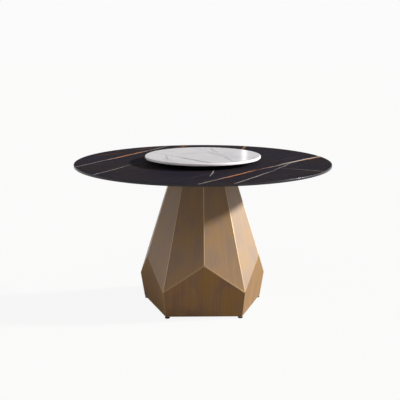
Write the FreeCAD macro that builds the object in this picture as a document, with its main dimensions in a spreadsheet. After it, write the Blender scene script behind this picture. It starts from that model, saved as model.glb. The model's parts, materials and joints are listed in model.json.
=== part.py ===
import FreeCAD, Part
import os

import Sketcher
from FreeCAD import Placement, Rotation, Vector

# A round stone dining table with a lazy susan, on a faceted sheet-metal pedestal.
# Millimetres, +Z up, origin on the floor under the middle of the table. One flat of the
# pedestal faces -Y, and one of its corners faces +Y.

doc = FreeCAD.newDocument("dining_table")
sizes = doc.addObject("Spreadsheet::Sheet", "Sizes")

# What a designer would change: name, value, what it is.
DRIVING = [
    ("table_height", 750, "floor to the top of the stone"),
    ("stone_diameter", 1310, "table top"),
    ("stone_thickness", 12, "both stones are cut from this slab"),
    ("stone_ease", 1.5, "rounding of the stones' edges"),
    ("board_setback", 155, "backing board's edge, in from the stone's"),
    ("board_thickness", 18, "backing board"),
    ("board_bevel", 10, "bevel round the board's lower edge"),
    ("flange_thickness", 8, "steel plate on top of the pedestal"),
    ("flange_margin", 22, "a bolt's centre to the flange's edge"),
    ("bolt_offset", 26, "shell's corner at the top to a bolt's centre"),
    ("bolt_diameter", 8, "shank"),
    ("bolt_head_width", 13, "across flats"),
    ("bolt_head_height", 5.3, "hexagon head"),
    ("bolt_end_gap", 2, "end of a bolt to the end of its insert"),
    ("bolt_hole_play", 0.5, "gap round a shank in a plate"),
    ("thread_play", 0.05, "gap round a thread in its nut or insert"),
    ("washer_diameter", 16, "under each bolt head"),
    ("washer_thickness", 1.6, "under each bolt head"),
    ("insert_wall", 2, "threaded insert in the board"),
    ("insert_cover", 2.9, "board left above an insert's hole"),
    ("insert_play", 0.1, "gap round an insert"),
    ("side_count", 5, "flats of the pedestal's lower part; the upper part has twice as many"),
    ("shell_gauge", 2, "sheet of the pedestal's shell"),
    ("sole_radius", 325, "axis to a corner at the shell's lower edge"),
    ("corner_overhang", 22, "how much further out the widest corners are"),
    ("corner_height", 136, "floor to the widest corners"),
    ("crown_radius", 162, "axis to a corner at the shell's upper edge"),
    ("floor_plate_thickness", 5, "steel plate that closes the shell below"),
    ("column_diameter", 89, "tube from floor plate to flange"),
    ("column_wall", 3, "tube from floor plate to flange"),
    ("rib_gauge", 3, "plate ribs behind the corner seams"),
    ("weld_gap", 0.3, "gap left for the weld round ribs and floor plate"),
    ("rib_notch_play", 6, "room round a foot's nut and stud in a rib"),
    ("rib_hole_height", 170, "floor to the middle of a rib's lowest hole"),
    ("rib_hole_low", 104, "diameter of a rib's lowest hole"),
    ("rib_hole_mid", 76, "diameter of a rib's middle hole"),
    ("rib_hole_high", 44, "diameter of a rib's highest hole"),
    ("rib_web", 66, "rib left between two holes"),
    ("foot_margin", 1.7, "a foot's nut to the floor plate's edge"),
    ("foot_travel", 15, "how far a foot screws down"),
    ("foot_play", 0.2, "gaps between stud, pad and floor plate"),
    ("pad_diameter", 25, "foot pad"),
    ("pad_floor", 2, "foot pad under its socket"),
    ("pad_roof", 1.4, "lip that holds the stud in its pad"),
    ("pad_round", 1.6, "rounding of the pad's lower edge"),
    ("stud_diameter", 8, "foot stud"),
    ("stud_end", 4, "how far a stud still stands out of its nut when screwed down"),
    ("stud_head_diameter", 11.6, "round head that turns in the pad"),
    ("stud_head_height", 2.4, "round head that turns in the pad"),
    ("stud_hexagon_width", 13, "spanner flats on the stud"),
    ("stud_hexagon_height", 3.4, "spanner flats on the stud"),
    ("nut_wall", 3, "weld nut for a foot, thread to flat"),
    ("nut_height", 6.5, "weld nut for a foot"),
    ("turntable_diameter", 590, "lazy susan's stone"),
    ("ball_circle", 270, "diameter of the ring of balls"),
    ("ball_count", 36, "balls in the bearing"),
    ("ball_diameter", 6, "bearing ball"),
    ("ball_play", 0.15, "gap round a ball in its grooves and cage"),
    ("race_gap", 2, "between the two rings at the balls"),
    ("race_shoulder", 2.85, "ring left below and above its groove"),
    ("ring_lip", 3, "thickness of both rings' flat lips"),
    ("ring_lift", 2, "turning ring above the fixed ring's foot"),
    ("ring_overlap_gap", 1, "fixed ring's top to the lip over it"),
    ("fixed_ring_hub", 8, "wall of the fixed ring behind its groove"),
    ("fixed_ring_foot", 21, "how far the fixed ring's foot reaches inward"),
    ("turning_ring_wall", 14, "wall of the turning ring behind its groove"),
    ("turning_ring_lip", 24, "how far the turning ring's lip reaches inward"),
    ("cage_play", 0.4, "gap between the cage and each ring"),
    ("cage_rim", 1.35, "cage left below and above its pockets"),
    ("grip_count", 6, "silicone pads under and over the bearing"),
    ("grip_diameter", 26, "silicone pad"),
    ("lower_grip_thickness", 2, "pads on the table's stone"),
    ("upper_grip_thickness", 3.5, "pads under the turntable's stone"),
]

# What follows from those sizes.
DERIVED = [
    # Table top, down to the shell's upper edge.
    ("stone_bottom", "table_height - stone_thickness"),
    ("board_bottom", "stone_bottom - board_thickness"),
    ("shell_top", "board_bottom - flange_thickness"),
    ("stone_radius", "stone_diameter / 2"),
    ("board_radius", "stone_radius - board_setback"),
    ("board_edge", "min(board_bevel; 0.9 * board_thickness)"),
    ("bolt_ring", "crown_radius + bolt_offset"),
    ("flange_radius", "bolt_ring + flange_margin"),
    ("bolt_radius", "bolt_diameter / 2"),
    ("bolt_hole_radius", "bolt_radius + bolt_hole_play"),
    ("bolt_thread_radius", "bolt_radius + thread_play"),
    ("insert_radius", "bolt_radius + insert_wall"),
    ("insert_hole_radius", "insert_radius + insert_play"),
    ("insert_hole_depth", "board_thickness - insert_cover"),
    ("insert_length", "insert_hole_depth - insert_play"),
    ("washer_radius", "washer_diameter / 2"),
    ("washer_bottom", "shell_top - washer_thickness"),
    ("bolt_bottom", "washer_bottom - bolt_head_height"),
    ("bolt_length", "washer_thickness + flange_thickness + insert_length - bolt_end_gap"),
    # Feet, from the floor up to the shell's lower edge.
    ("stud_head_bottom", "pad_floor + foot_play"),
    ("stud_head_top", "stud_head_bottom + stud_head_height"),
    ("socket_top", "stud_head_top + foot_play"),
    ("pad_height", "socket_top + pad_roof"),
    ("hexagon_bottom", "pad_height + foot_play"),
    ("shell_base", "hexagon_bottom + stud_hexagon_height + foot_play"),
    ("floor_plate_top", "shell_base + floor_plate_thickness"),
    ("stud_top", "floor_plate_top + nut_height + foot_travel + stud_end"),
    ("pad_radius", "pad_diameter / 2"),
    ("stud_radius", "stud_diameter / 2"),
    ("stud_hole_radius", "stud_radius + bolt_hole_play"),
    ("stud_thread_radius", "stud_radius + thread_play"),
    ("stud_head_radius", "stud_head_diameter / 2"),
    ("socket_radius", "stud_head_radius + foot_play"),
    ("socket_mouth", "stud_radius + foot_play"),
    ("nut_width", "stud_diameter + 2 * nut_wall"),
    # Both frusta of the shell, as circumradii at the shell's lower and upper edges.
    ("half_side", "180 / side_count"),
    ("quarter_side", "90 / side_count"),
    ("side_angle", "360 / side_count"),
    ("shell_height", "shell_top - shell_base"),
    ("corner_radius", "sole_radius + corner_overhang"),
    ("taper", "(corner_radius - crown_radius) / (shell_top - corner_height)"),
    ("flare", "corner_overhang / (corner_height - shell_base)"),
    ("upper_skirt_radius", "crown_radius + taper * shell_height"),
    ("lower_brim_radius", "sole_radius + flare * shell_height"),
    ("upper_wall", "shell_gauge * sqrt(1 + (taper * cos(quarter_side)) ^ 2) / cos(quarter_side)"),
    ("lower_wall", "shell_gauge * sqrt(1 + (flare * cos(half_side)) ^ 2) / cos(half_side)"),
    ("inner_crown_radius", "crown_radius - upper_wall"),
    ("inner_skirt_radius", "upper_skirt_radius - upper_wall"),
    ("inner_sole_radius", "sole_radius - lower_wall"),
    ("inner_brim_radius", "lower_brim_radius - lower_wall"),
    ("sector_radius", "2 * corner_radius"),
    # Floor plate, with a foot near each corner, and the column on it.
    ("floor_plate_radius", "inner_sole_radius - weld_gap / cos(half_side)"),
    ("foot_ring", "floor_plate_radius - (nut_width / sqrt(3) + foot_margin) / cos(half_side)"),
    ("column_radius", "column_diameter / 2"),
    ("column_bore_radius", "column_radius - column_wall"),
    ("column_height", "shell_top - floor_plate_top"),
    # Ribs, from the column to the inside of a seam.
    ("rib_inner", "column_radius + weld_gap"),
    ("rib_corner", "corner_radius - lower_wall - weld_gap - rib_gauge / 2 * tan(half_side)"),
    ("rib_crown", "inner_crown_radius - weld_gap - rib_gauge / 2 * tan(quarter_side)"),
    ("rib_notch_inner", "foot_ring - nut_width / sqrt(3) - rib_notch_play"),
    ("rib_notch_top", "stud_top + rib_notch_play"),
    ("rib_notch_outer", "rib_corner - flare * (corner_height - rib_notch_top)"),
    ("rib_low_radius", "rib_hole_low / 2"),
    ("rib_mid_radius", "rib_hole_mid / 2"),
    ("rib_high_radius", "rib_hole_high / 2"),
    ("rib_low_height", "rib_hole_height"),
    ("rib_mid_height", "rib_low_height + rib_low_radius + rib_web + rib_mid_radius"),
    ("rib_high_height", "rib_mid_height + rib_mid_radius + rib_web + rib_high_radius"),
    ("rib_low_ring", "(rib_inner + rib_crown + taper * (shell_top - rib_low_height)) / 2"),
    ("rib_mid_ring", "(rib_inner + rib_crown + taper * (shell_top - rib_mid_height)) / 2"),
    ("rib_high_ring", "(rib_inner + rib_crown + taper * (shell_top - rib_high_height)) / 2"),
    # Lazy susan, from the table's stone up.
    ("ball_ring", "ball_circle / 2"),
    ("ball_radius", "ball_diameter / 2"),
    ("groove_radius", "ball_radius + ball_play"),
    ("fixed_ring_bottom", "table_height + lower_grip_thickness"),
    ("fixed_ring_foot_top", "fixed_ring_bottom + ring_lip"),
    ("turning_ring_bottom", "fixed_ring_bottom + ring_lift"),
    ("ball_height", "turning_ring_bottom + race_shoulder + groove_radius"),
    ("fixed_ring_top", "ball_height + groove_radius + race_shoulder"),
    ("turning_lip_bottom", "fixed_ring_top + ring_overlap_gap"),
    ("turning_ring_top", "turning_lip_bottom + ring_lip"),
    ("turntable_bottom", "turning_ring_top + upper_grip_thickness"),
    ("turntable_top", "turntable_bottom + stone_thickness"),
    ("turntable_radius", "turntable_diameter / 2"),
    ("fixed_race", "ball_ring - race_gap / 2"),
    ("fixed_hub_inner", "fixed_race - fixed_ring_hub"),
    ("fixed_foot_inner", "fixed_hub_inner - fixed_ring_foot"),
    ("turning_race", "ball_ring + race_gap / 2"),
    ("turning_ring_outer", "turning_race + turning_ring_wall"),
    ("turning_lip_inner", "turning_race - turning_ring_lip"),
    ("cage_inner", "fixed_race + cage_play"),
    ("cage_outer", "turning_race - cage_play"),
    ("cage_height", "2 * (groove_radius + cage_rim)"),
    ("cage_bottom", "ball_height - cage_height / 2"),
    ("lower_grip_ring", "(fixed_foot_inner + fixed_race) / 2"),
    ("upper_grip_ring", "(turning_lip_inner + turning_ring_outer) / 2"),
    ("grip_radius", "grip_diameter / 2"),
]


def fill_sheet():
    """Writes every size to the spreadsheet: name, value under an alias, and note."""
    rows = [(name, str(value), note) for name, value, note in DRIVING]
    rows += [(name, "=" + formula, "") for name, formula in DERIVED]
    for row, (name, _, note) in enumerate(rows, start=1):
        sizes.set(f"A{row}", name)
        sizes.setAlias(f"B{row}", name)
        sizes.set(f"C{row}", note)
    for row, (_, value, _) in enumerate(rows, start=1):
        sizes.set(f"B{row}", value)
    doc.recompute()


def bind(target, field, name):
    """Ties one field of an object to a size in the sheet."""
    target.setExpression(field, "Sizes." + name)


def size(name):
    return float(sizes.get(name))


def corner_angle(corner):
    """Direction of one of the pedestal's corners from +X. Corner 0 is the one at +Y."""
    return f"(90 + 360 * {corner} / Sizes.side_count)"


def face_corner(target, corner):
    """Turns an object about the table's axis until its +X points at a corner."""
    target.Placement = Placement(Vector(), Rotation(Vector(0, 0, 1), 90))
    target.setExpression("Placement.Rotation.Angle", corner_angle(corner))


def stand_at_foot(target, corner):
    """Moves an object from the table's axis to the foot near a corner."""
    target.setExpression("Placement.Base.x", f"Sizes.foot_ring * cos{corner_angle(corner)}")
    target.setExpression("Placement.Base.y", f"Sizes.foot_ring * sin{corner_angle(corner)}")


# ---- small modelling steps ----

def new_body(label):
    body = doc.addObject("PartDesign::Body", label)
    body.Label = label
    return body


def new_sketch(body, plane, lift=None):
    """A sketch on one of the body's own planes, raised by a size in the sheet."""
    sketch = body.newObject("Sketcher::SketchObject", body.Label + "_sketch")
    support = [item for item in body.Origin.OriginFeatures if item.Role == plane]
    sketch.AttachmentSupport = (support[0], [""])
    sketch.MapMode = "FlatFace"
    if lift:
        bind(sketch, "AttachmentOffset.Base.z", lift)
    return sketch


def pin_point(sketch, element, point, across, along):
    """Holds a point at its distances from the sketch's origin. None means on that axis."""
    for kind, name, axis in (("DistanceX", across, -2), ("DistanceY", along, -1)):
        if name is None:
            sketch.addConstraint(Sketcher.Constraint("PointOnObject", element, point, axis))
            continue
        row = sketch.addConstraint(Sketcher.Constraint(kind, -1, 1, element, point, size(name)))
        bind(sketch, f"Constraints[{row}]", name)


def add_outline(sketch, corners):
    """A closed outline of straight lines through corners given as pairs of sizes."""
    def place(corner):
        return Vector(*[size(name) if name else 0.0 for name in corner], 0)

    first = sketch.GeometryCount
    count = len(corners)
    for start, corner in enumerate(corners):
        end = corners[(start + 1) % count]
        sketch.addGeometry(Part.LineSegment(place(corner), place(end)))
    for start in range(count):
        after = (start + 1) % count
        sketch.addConstraint(Sketcher.Constraint("Coincident", first + start, 2, first + after, 1))
    for start, (across, along) in enumerate(corners):
        pin_point(sketch, first + start, 1, across, along)


def add_circle(sketch, radius, across=None, along=None):
    centre = Vector(size(across) if across else 0, size(along) if along else 0, 0)
    circle = sketch.addGeometry(Part.Circle(centre, Vector(0, 0, 1), size(radius)))
    pin_point(sketch, circle, 3, across, along)
    row = sketch.addConstraint(Sketcher.Constraint("Radius", circle, size(radius)))
    bind(sketch, f"Constraints[{row}]", radius)
    return circle


def add_hexagon(sketch, width, across):
    """A hexagon of some width across flats, centred on the sketch's horizontal axis."""
    centre = Vector(size(across) if across else 0, 0, 0)
    spoke = Vector(size(width) / 3 ** 0.5, 0, 0)
    corners = [centre + Rotation(Vector(0, 0, 1), 60 * turn).multVec(spoke) for turn in range(6)]
    first = sketch.GeometryCount
    for start in range(6):
        sketch.addGeometry(Part.LineSegment(corners[start], corners[(start + 1) % 6]))
    ring = sketch.addGeometry(Part.Circle(centre, Vector(0, 0, 1), spoke.Length), True)
    pin_point(sketch, ring, 3, across, None)
    for start in range(6):
        after = first + (start + 1) % 6
        sketch.addConstraint(Sketcher.Constraint("Coincident", first + start, 2, after, 1))
        sketch.addConstraint(Sketcher.Constraint("PointOnObject", first + start, 1, ring))
    for start in range(1, 6):
        sketch.addConstraint(Sketcher.Constraint("Equal", first, first + start))
    sketch.addConstraint(Sketcher.Constraint("Horizontal", first + 1))
    row = sketch.addConstraint(Sketcher.Constraint("Radius", ring, spoke.Length))
    sketch.setExpression(f"Constraints[{row}]", f"Sizes.{width} / sqrt(3)")


def add_pad(body, sketch, length, midplane=False):
    pad = body.newObject("PartDesign::Pad", body.Label + "_pad")
    pad.Profile = sketch
    pad.Midplane = midplane
    bind(pad, "Length", length)
    doc.recompute()
    return pad


def add_cut(body, kind, sketch, **settings):
    """A Pocket or Groove that has to take material away."""
    before = body.Shape.Volume
    cut = body.newObject("PartDesign::" + kind, body.Label + "_cut")
    cut.Profile = sketch
    for field, value in settings.items():
        setattr(cut, field, value)
    doc.recompute()
    if body.Shape.Volume >= before:
        raise RuntimeError(f"{cut.Name} cuts nothing")
    return cut


def add_revolution(body, sketch):
    """A full turn of a sketch on the XZ plane about the table's axis."""
    turned = body.newObject("PartDesign::Revolution", body.Label + "_turned")
    turned.Profile = sketch
    turned.ReferenceAxis = (sketch, ["V_Axis"])
    turned.Angle = 360
    doc.recompute()
    return turned


def add_ring_of(body, features, count):
    """Repeats features about the table's axis, as often as a size in the sheet says."""
    pattern = body.newObject("PartDesign::PolarPattern", body.Label + "_ring")
    pattern.Originals = features
    axis = [item for item in body.Origin.OriginFeatures if item.Role == "Z_Axis"]
    pattern.Axis = (axis[0], [""])
    pattern.Angle = 360
    bind(pattern, "Occurrences", count)
    body.Tip = pattern
    doc.recompute()
    return pattern


def edges_at(shape, height, radius):
    """Names of the round edges of one radius at one height, for a fillet or chamfer."""
    return [
        f"Edge{index}"
        for index, edge in enumerate(shape.Edges, start=1)
        if isinstance(edge.Curve, Part.Circle)
        and abs(edge.Curve.Radius - radius) < 1e-4
        and abs(edge.Curve.Center.z - height) < 1e-4
    ]


def add_edge_treatment(body, kind, field, base, edges, name):
    """A Fillet or Chamfer on named edges of a feature."""
    treated = body.newObject("PartDesign::" + kind, body.Label + "_edge")
    treated.Base = (base, edges)
    bind(treated, field, name)
    doc.recompute()
    return treated


def combine(kind, label, base, tool):
    """Part::Common or Part::Cut of two solids."""
    made = doc.addObject("Part::" + kind, label)
    made.Base = base
    made.Tool = tool
    return made


# ---- table top ----

def make_stone(label, radius, bottom, top):
    """A stone disc with both edges eased."""
    body = new_body(label)
    sketch = new_sketch(body, "XY_Plane", bottom)
    add_circle(sketch, radius)
    disc = add_pad(body, sketch, "stone_thickness")
    edges = edges_at(disc.Shape, size(bottom), size(radius))
    edges += edges_at(disc.Shape, size(top), size(radius))
    add_edge_treatment(body, "Fillet", "Radius", disc, edges, "stone_ease")
    return body


def make_backing_board():
    """Black fibreboard disc under the stone, with a blind hole for each insert."""
    body = new_body("backing_board")
    sketch = new_sketch(body, "XY_Plane", "board_bottom")
    add_circle(sketch, "board_radius")
    disc = add_pad(body, sketch, "board_thickness")
    edges = edges_at(disc.Shape, size("board_bottom"), size("board_radius"))
    add_edge_treatment(body, "Chamfer", "Size", disc, edges, "board_edge")
    hole = new_sketch(body, "XY_Plane", "board_bottom")
    add_circle(hole, "insert_hole_radius", "bolt_ring")
    cut = add_cut(body, "Pocket", hole, Reversed=True, Length=size("insert_hole_depth"))
    bind(cut, "Length", "insert_hole_depth")
    add_ring_of(body, [cut], "side_count")
    return body


def make_board_inserts():
    """Threaded sleeves in the board, one for each bolt."""
    body = new_body("board_inserts")
    sketch = new_sketch(body, "XY_Plane", "board_bottom")
    add_circle(sketch, "insert_radius", "bolt_ring")
    add_circle(sketch, "bolt_thread_radius", "bolt_ring")
    sleeve = add_pad(body, sketch, "insert_length")
    add_ring_of(body, [sleeve], "side_count")
    return body


# ---- pedestal ----

def make_top_flange():
    """Round steel plate welded on the pedestal and bolted to the board from below."""
    body = new_body("top_flange")
    sketch = new_sketch(body, "XY_Plane", "shell_top")
    add_circle(sketch, "flange_radius")
    add_pad(body, sketch, "flange_thickness")
    hole = new_sketch(body, "XY_Plane", "shell_top")
    add_circle(hole, "bolt_hole_radius", "bolt_ring")
    cut = add_cut(body, "Pocket", hole, Reversed=True, Type="ThroughAll")
    add_ring_of(body, [cut], "side_count")
    return body


def make_flange_bolts():
    """Hexagon-head bolts that hold the flange to the board."""
    body = new_body("flange_bolts")
    hexagon = new_sketch(body, "XY_Plane", "bolt_bottom")
    add_hexagon(hexagon, "bolt_head_width", "bolt_ring")
    head = add_pad(body, hexagon, "bolt_head_height")
    circle = new_sketch(body, "XY_Plane", "washer_bottom")
    add_circle(circle, "bolt_radius", "bolt_ring")
    shank = add_pad(body, circle, "bolt_length")
    add_ring_of(body, [head, shank], "side_count")
    return body


def make_flange_washers():
    body = new_body("flange_washers")
    sketch = new_sketch(body, "XY_Plane", "washer_bottom")
    add_circle(sketch, "washer_radius", "bolt_ring")
    add_circle(sketch, "bolt_thread_radius", "bolt_ring")
    washer = add_pad(body, sketch, "washer_thickness")
    add_ring_of(body, [washer], "side_count")
    return body


def make_column():
    """Steel tube from the floor plate to the flange."""
    body = new_body("column")
    sketch = new_sketch(body, "XY_Plane", "floor_plate_top")
    add_circle(sketch, "column_radius")
    add_circle(sketch, "column_bore_radius")
    add_pad(body, sketch, "column_height")
    return body


def make_rib(label, corner):
    """Plate rib from the column to a corner seam, notched over the foot's nut."""
    body = new_body(label)
    face_corner(body, corner)
    outline = new_sketch(body, "XZ_Plane")
    add_outline(outline, [
        ("rib_inner", "floor_plate_top"),
        ("rib_notch_inner", "floor_plate_top"),
        ("rib_notch_inner", "rib_notch_top"),
        ("rib_notch_outer", "rib_notch_top"),
        ("rib_corner", "corner_height"),
        ("rib_crown", "shell_top"),
        ("rib_inner", "shell_top"),
    ])
    add_pad(body, outline, "rib_gauge", midplane=True)
    holes = new_sketch(body, "XZ_Plane")
    for hole in ("rib_low", "rib_mid", "rib_high"):
        add_circle(holes, hole + "_radius", hole + "_ring", hole + "_height")
    add_cut(body, "Pocket", holes, Midplane=True, Type="ThroughAll")
    return body


def make_floor_plate():
    """Plate inside the shell's lower edge, with a hole for each foot."""
    blank = doc.addObject("Part::Prism", "floor_plate_blank")
    blank.Placement = Placement(Vector(), Rotation(Vector(0, 0, 1), 90))
    bind(blank, "Polygon", "side_count")
    bind(blank, "Circumradius", "floor_plate_radius")
    bind(blank, "Height", "floor_plate_thickness")
    bind(blank, "Placement.Base.z", "shell_base")
    drills = doc.addObject("Part::MultiFuse", "floor_plate_drills")
    drills.Shapes = [make_foot_drill(corner) for corner in range(int(size("side_count")))]
    return combine("Cut", "floor_plate", blank, drills)


def make_foot_drill(corner):
    drill = doc.addObject("Part::Cylinder", "foot_drill")
    bind(drill, "Radius", "stud_hole_radius")
    bind(drill, "Height", "stud_top")
    stand_at_foot(drill, corner)
    return drill


def make_weld_nuts():
    """A nut on the floor plate over each foot."""
    body = new_body("weld_nuts")
    face_corner(body, 0)
    sketch = new_sketch(body, "XY_Plane", "floor_plate_top")
    add_hexagon(sketch, "nut_width", "foot_ring")
    add_circle(sketch, "stud_thread_radius", "foot_ring")
    nut = add_pad(body, sketch, "nut_height")
    add_ring_of(body, [nut], "side_count")
    return body


# ---- shell ----

def make_frustum(label, corners, low_radius, high_radius):
    """A solid of flat sides between the shell's lower and upper edges, one corner at +Y."""
    rings = []
    for radius, level in ((low_radius, "shell_base"), (high_radius, "shell_top")):
        ring = doc.addObject("Part::RegularPolygon", label + "_ring")
        ring.Placement = Placement(Vector(), Rotation(Vector(0, 0, 1), 90))
        ring.setExpression("Polygon", f"{corners} * Sizes.side_count")
        bind(ring, "Circumradius", radius)
        bind(ring, "Placement.Base.z", level)
        rings.append(ring)
    frustum = doc.addObject("Part::Loft", label)
    frustum.Sections = rings
    frustum.Solid = True
    frustum.Ruled = True
    return frustum


def make_shell_zones():
    """The shell before it is cut into panels: the lower sheet, and the upper one inside it."""
    upper_outside = make_frustum("upper_outside", 2, "upper_skirt_radius", "crown_radius")
    upper_inside = make_frustum("upper_inside", 2, "inner_skirt_radius", "inner_crown_radius")
    lower_outside = make_frustum("lower_outside", 1, "sole_radius", "lower_brim_radius")
    lower_inside = make_frustum("lower_inside", 1, "inner_sole_radius", "inner_brim_radius")
    whole = combine("Common", "pedestal_outside", upper_outside, lower_outside)
    lower_zone = combine("Cut", "lower_zone", whole, lower_inside)
    core = combine("Common", "pedestal_core", upper_outside, lower_inside)
    upper_zone = combine("Cut", "upper_zone", core, upper_inside)
    return lower_zone, upper_zone


def make_panel(label, zone, corner):
    """One side's share of a zone, between two corner seams."""
    sector = doc.addObject("Part::Cylinder", label + "_sector")
    face_corner(sector, corner)
    bind(sector, "Radius", "sector_radius")
    bind(sector, "Height", "shell_top")
    bind(sector, "Angle", "side_angle")
    return combine("Common", label, zone, sector)


# ---- feet ----

def make_foot_pad(label, corner):
    """Nylon pad with a socket that holds the stud's round head."""
    body = new_body(label)
    sketch = new_sketch(body, "XZ_Plane")
    add_outline(sketch, [
        (None, None),
        ("pad_radius", None),
        ("pad_radius", "pad_height"),
        ("socket_mouth", "pad_height"),
        ("socket_mouth", "socket_top"),
        ("socket_radius", "socket_top"),
        ("socket_radius", "pad_floor"),
        (None, "pad_floor"),
    ])
    pad = add_revolution(body, sketch)
    edges = edges_at(pad.Shape, 0, size("pad_radius"))
    add_edge_treatment(body, "Fillet", "Radius", pad, edges, "pad_round")
    stand_at_foot(body, corner)
    return body


def make_foot_stud(label, corner):
    """Threaded stud with a round head below and spanner flats above the pad."""
    body = new_body(label)
    sketch = new_sketch(body, "XZ_Plane")
    add_outline(sketch, [
        (None, "stud_head_bottom"),
        ("stud_head_radius", "stud_head_bottom"),
        ("stud_head_radius", "stud_head_top"),
        ("stud_radius", "stud_head_top"),
        ("stud_radius", "stud_top"),
        (None, "stud_top"),
    ])
    add_revolution(body, sketch)
    hexagon = new_sketch(body, "XY_Plane", "hexagon_bottom")
    add_hexagon(hexagon, "stud_hexagon_width", None)
    add_pad(body, hexagon, "stud_hexagon_height")
    stand_at_foot(body, corner)
    return body


# ---- lazy susan ----

def make_grips(label, ring, bottom, thickness):
    """A ring of silicone pads."""
    body = new_body(label)
    sketch = new_sketch(body, "XY_Plane", bottom)
    add_circle(sketch, "grip_radius", ring)
    grip = add_pad(body, sketch, thickness)
    add_ring_of(body, [grip], "grip_count")
    return body


def make_bearing_ring(label, outline):
    """A ring turned from its outline, with a round groove for the balls."""
    body = new_body(label)
    sketch = new_sketch(body, "XZ_Plane")
    add_outline(sketch, outline)
    add_revolution(body, sketch)
    groove = new_sketch(body, "XZ_Plane")
    add_circle(groove, "groove_radius", "ball_ring", "ball_height")
    add_cut(body, "Groove", groove, ReferenceAxis=(groove, ["V_Axis"]), Angle=360)
    return body


def make_fixed_ring():
    """Ring over the table's stone: a flat foot inward and a hub that carries the balls."""
    return make_bearing_ring("bearing_fixed_ring", [
        ("fixed_foot_inner", "fixed_ring_bottom"),
        ("fixed_race", "fixed_ring_bottom"),
        ("fixed_race", "fixed_ring_top"),
        ("fixed_hub_inner", "fixed_ring_top"),
        ("fixed_hub_inner", "fixed_ring_foot_top"),
        ("fixed_foot_inner", "fixed_ring_foot_top"),
    ])


def make_turning_ring():
    """Ring round the fixed one, with a lip over it that carries the turntable."""
    return make_bearing_ring("bearing_turning_ring", [
        ("turning_race", "turning_ring_bottom"),
        ("turning_ring_outer", "turning_ring_bottom"),
        ("turning_ring_outer", "turning_ring_top"),
        ("turning_lip_inner", "turning_ring_top"),
        ("turning_lip_inner", "turning_lip_bottom"),
        ("turning_race", "turning_lip_bottom"),
    ])


def make_ball_cage():
    """Strip with a round pocket for each ball."""
    body = new_body("bearing_cage")
    sketch = new_sketch(body, "XY_Plane", "cage_bottom")
    add_circle(sketch, "cage_outer")
    add_circle(sketch, "cage_inner")
    add_pad(body, sketch, "cage_height")
    hole = new_sketch(body, "YZ_Plane")
    add_circle(hole, "groove_radius", None, "ball_height")
    cut = add_cut(body, "Pocket", hole, Reversed=True, Type="ThroughAll")
    add_ring_of(body, [cut], "ball_count")
    return body


def make_balls():
    """Steel balls, each turned from a half circle on its own vertical axis."""
    body = new_body("bearing_balls")
    sketch = new_sketch(body, "XZ_Plane")
    centre = Vector(size("ball_ring"), size("ball_height"), 0)
    half = Part.ArcOfCircle(Part.Circle(centre, Vector(0, 0, 1), size("ball_radius")), -1.5708, 1.5708)
    arc = sketch.addGeometry(half)
    axis = sketch.addGeometry(Part.LineSegment(half.EndPoint, half.StartPoint))
    sketch.addConstraint(Sketcher.Constraint("Coincident", arc, 2, axis, 1))
    sketch.addConstraint(Sketcher.Constraint("Coincident", axis, 2, arc, 1))
    sketch.addConstraint(Sketcher.Constraint("PointOnObject", arc, 3, axis))
    sketch.addConstraint(Sketcher.Constraint("Vertical", axis))
    pin_point(sketch, arc, 3, "ball_ring", "ball_height")
    row = sketch.addConstraint(Sketcher.Constraint("Radius", arc, size("ball_radius")))
    bind(sketch, f"Constraints[{row}]", "ball_radius")
    ball = body.newObject("PartDesign::Revolution", "ball")
    ball.Profile = sketch
    ball.ReferenceAxis = (sketch, [f"Edge{axis + 1}"])
    ball.Angle = 360
    doc.recompute()
    add_ring_of(body, [ball], "ball_count")
    return body


def build():
    """Every node of the table, in the order that it is put together."""
    fill_sheet()
    nodes = [
        make_stone("stone_top", "stone_radius", "stone_bottom", "table_height"),
        make_backing_board(),
        make_board_inserts(),
        make_top_flange(),
        make_flange_bolts(),
        make_flange_washers(),
        make_column(),
        make_floor_plate(),
        make_weld_nuts(),
    ]
    lower_zone, upper_zone = make_shell_zones()
    for corner in range(int(size("side_count"))):
        number = corner + 1
        nodes += [
            make_rib(f"rib_{number}", corner),
            make_panel(f"lower_panel_{number}", lower_zone, corner),
            make_panel(f"upper_panel_{number}", upper_zone, corner),
            make_foot_pad(f"foot_pad_{number}", corner),
            make_foot_stud(f"foot_stud_{number}", corner),
        ]
    nodes += [
        make_grips("lower_grips", "lower_grip_ring", "table_height", "lower_grip_thickness"),
        make_fixed_ring(),
        make_balls(),
        make_ball_cage(),
        make_turning_ring(),
        make_grips("upper_grips", "upper_grip_ring", "turning_ring_top", "upper_grip_thickness"),
        make_stone("turntable_stone", "turntable_radius", "turntable_bottom", "turntable_top"),
    ]
    doc.recompute()
    return nodes


def write(nodes):
    """Stops on a failed object, then writes one STEP file for each node."""
    for item in doc.Objects:
        if {"Invalid", "Error"} & set(item.State):
            raise RuntimeError(f"{item.Label} failed: {item.State}")
    os.makedirs("parts", exist_ok=True)
    for node in nodes:
        if node.Shape.isNull() or not node.Shape.isValid():
            raise RuntimeError(f"{node.Label} has no valid shape")
        node.Shape.exportStep(f"parts/{node.Label}.step")
        solids = len(node.Shape.Solids)
        print(f"{node.Label}: {solids} solid(s), {node.Shape.Volume / 1000:.1f} cm3")


write(build())
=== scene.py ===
import json
import math

import bmesh
import bpy
from mathutils import Matrix, Vector


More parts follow.
